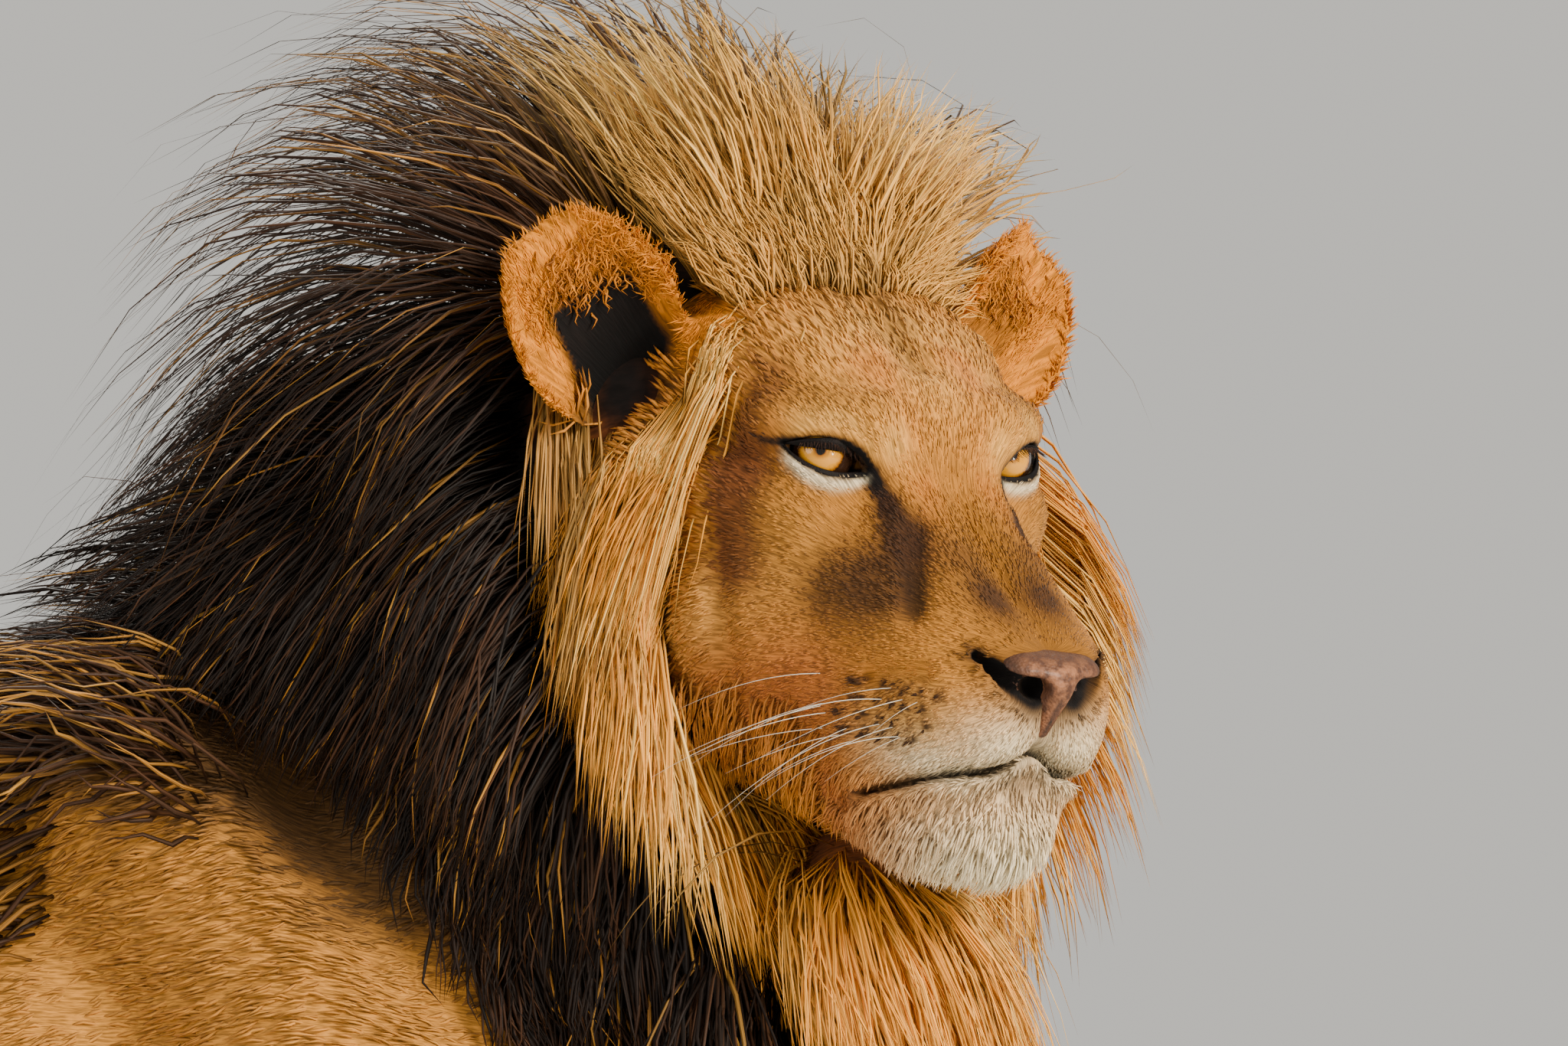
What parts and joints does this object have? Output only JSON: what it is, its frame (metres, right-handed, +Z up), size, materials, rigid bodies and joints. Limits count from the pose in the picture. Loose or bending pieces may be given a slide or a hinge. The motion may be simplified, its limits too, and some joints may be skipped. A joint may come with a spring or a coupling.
{
  "type": "lion",
  "caption": "Life-size standing male lion with a full mane, its head turned to its right, all four paws flat on the ground.",
  "frame": {"origin": "middle of the footprint, on the ground under the four paws", "axes": "+X the way the body faces, +Y the lion's left, +Z up"},
  "size_m": [1.9034, 0.5114, 1.452],
  "materials": {
    "coat": "short tan fur",
    "mane": "long dark brown hair with golden tips",
    "chin": "short white fur",
    "nose": "soft brown nose leather",
    "eye": "wet amber",
    "ear": "short orange fur"
  },
  "bodies": {
    "root": {"torso": "coat", "neck": "mane", "head": "coat", "jaw": "chin", "nose": "nose", "eye_left": "eye", "eye_right": "eye", "ear_left": "ear", "ear_right": "ear", "foreleg_left": "coat", "foreleg_right": "coat", "forepaw_left": "coat", "forepaw_right": "coat", "hindleg_left": "coat", "hindleg_right": "coat", "hindpaw_left": "coat", "hindpaw_right": "coat", "tail_base": "coat", "tail_end": "mane"}
  },
  "joints": []
}
